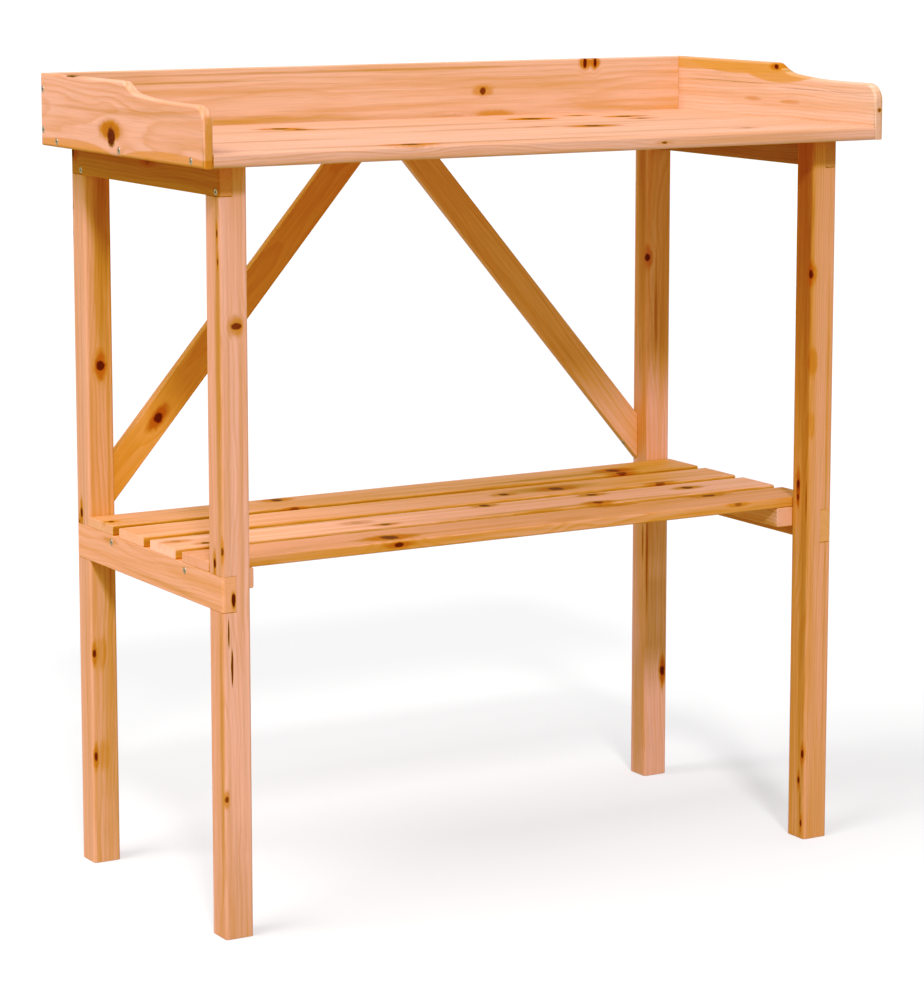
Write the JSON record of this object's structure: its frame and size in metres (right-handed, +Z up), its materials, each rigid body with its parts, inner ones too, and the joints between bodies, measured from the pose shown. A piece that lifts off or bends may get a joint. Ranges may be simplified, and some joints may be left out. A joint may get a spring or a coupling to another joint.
{
  "type": "potting bench",
  "caption": "Free-standing wooden potting bench with a worktop inside a low three-sided surround, a slatted lower shelf and two diagonal rear braces.",
  "frame": {"origin": "on the floor, under the centre of the bench's bounding box", "axes": "+Z up, +X to the user's right as the user faces the bench, +Y towards the back board; the open front faces -Y"},
  "size_m": [0.825, 0.39, 0.865],
  "materials": {
    "leg_timber": "planed and oiled fir, square sections with rounded edges",
    "rail_timber": "planed and oiled fir",
    "board_timber": "planed and oiled fir with knots",
    "slat_timber": "planed and oiled fir",
    "brace_timber": "planed and oiled fir, warmer in tone",
    "screw_steel": "zinc-plated steel"
  },
  "bodies": {
    "root": {"leg_front_left": "leg_timber", "leg_front_right": "leg_timber", "leg_rear_left": "leg_timber", "leg_rear_right": "leg_timber", "top_rail_left": "rail_timber", "top_rail_right": "rail_timber", "shelf_rail_left": "rail_timber", "shelf_rail_right": "rail_timber", "shelf_cleat_left": "rail_timber", "shelf_cleat_right": "rail_timber", "shelf_slat_front": "slat_timber", "shelf_slat_front_middle": "slat_timber", "shelf_slat_rear_middle": "slat_timber", "shelf_slat_rear": "slat_timber", "brace_left": "brace_timber", "brace_right": "brace_timber", "worktop": "board_timber", "side_board_left": "board_timber", "side_board_right": "board_timber", "back_board": "board_timber", "side_board_screws": "screw_steel", "back_board_screws": "screw_steel", "rail_screws": "screw_steel", "worktop_screws": "screw_steel", "cleat_screws": "screw_steel", "slat_screws": "screw_steel", "brace_screws": "screw_steel"}
  },
  "joints": []
}
